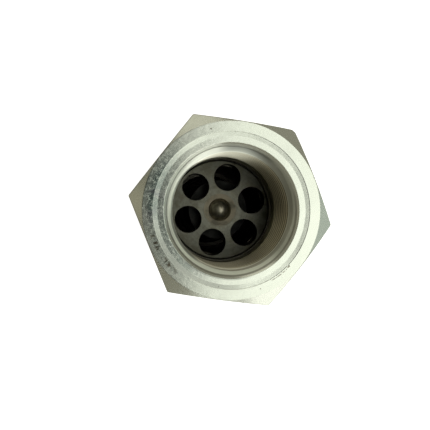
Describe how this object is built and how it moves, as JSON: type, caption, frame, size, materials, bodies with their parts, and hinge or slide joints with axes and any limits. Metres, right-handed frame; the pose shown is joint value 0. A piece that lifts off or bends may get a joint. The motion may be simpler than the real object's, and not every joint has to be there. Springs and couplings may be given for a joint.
{
  "type": "hydraulic relief valve",
  "caption": "In-line hydraulic relief valve in a hexagon body: threaded ports at both ends, spring-loaded poppet on a seat ring, guided in a drilled plate held by a wire ring.",
  "frame": {"origin": "centre of the inlet end face, on the bore's axis, where the valve stands upright", "axes": "+Z along the bore from the inlet to the outlet, the way the oil flows and the poppet opens; +X through one corner of the hexagon, +Y square to a flat"},
  "size_m": [0.053, 0.046, 0.11],
  "materials": {
    "plated_steel": "turned and drawn steel with pale zinc plating, mottled and lightly scratched",
    "hardened_steel": "hardened and ground, grey",
    "ground_steel": "ground bright",
    "blackened_steel": "turned, blackened and oily",
    "blued_steel": "rolled shim steel, blued and oily",
    "dull_steel": "turned, dull dark grey with an olive cast, oily",
    "spring_steel": "oiled spring wire, ground ends",
    "black_wire": "blackened spring wire",
    "bronze": "bearing bronze, oil-darkened",
    "nitrile_rubber": "moulded nitrile rubber",
    "white_ptfe": "cut PTFE ring, waxy"
  },
  "bodies": {
    "housing": {"valve_body": "plated_steel", "valve_seat": "hardened_steel", "seat_o_ring": "nitrile_rubber", "seat_backup_ring": "white_ptfe", "seat_retaining_ring": "black_wire", "relief_spring": "spring_steel", "upper_spring_seat": "blackened_steel", "thick_shim": "blued_steel", "middle_shim": "blued_steel", "thin_shim": "blued_steel", "guide_plate": "dull_steel", "guide_bush": "bronze", "plate_retaining_ring": "black_wire"},
    "poppet_group": {"poppet": "hardened_steel", "stem_pin": "ground_steel", "lower_spring_seat": "hardened_steel"}
  },
  "joints": [
    {"name": "poppet_lift", "type": "slide", "parent": "housing", "child": "poppet_group", "axis": [0, 0, 1], "range_m": [0, 0.005], "stiffness_N_per_m": 28900, "springref_m": -0.012, "deforming": ["relief_spring"]}
  ]
}
